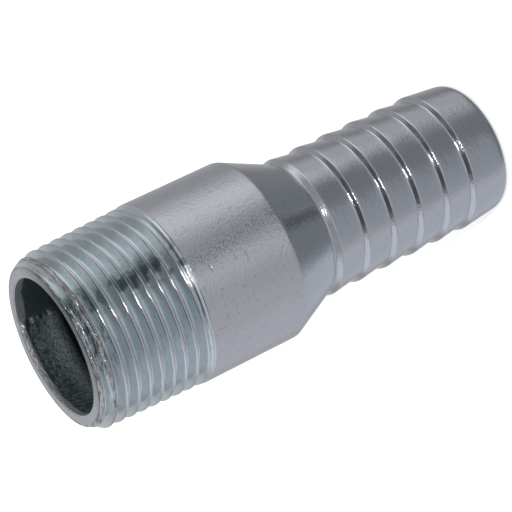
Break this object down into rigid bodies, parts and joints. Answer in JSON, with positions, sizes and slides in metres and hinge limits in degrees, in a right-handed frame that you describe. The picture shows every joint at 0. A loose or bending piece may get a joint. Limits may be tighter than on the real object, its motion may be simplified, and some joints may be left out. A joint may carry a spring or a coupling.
{
  "type": "hose barb tail",
  "caption": "Zinc-plated steel hose tail: a tapered male pipe thread on a plain tube, drawn down to a ringed shank that grips a hose.",
  "frame": {"origin": "centre of the end face that goes into the hose, on the axis", "axes": "+Z along the axis from the hose end to the threaded mouth; +X through the run-out of the thread groove"},
  "size_m": [0.0342, 0.0342, 0.09],
  "materials": {
    "zinc_plated_steel": "bright blue-white zinc plate on steel, satin on the tube, smoother on the ringed shank"
  },
  "bodies": {
    "root": {"hose_barb_tail": "zinc_plated_steel"}
  },
  "joints": []
}
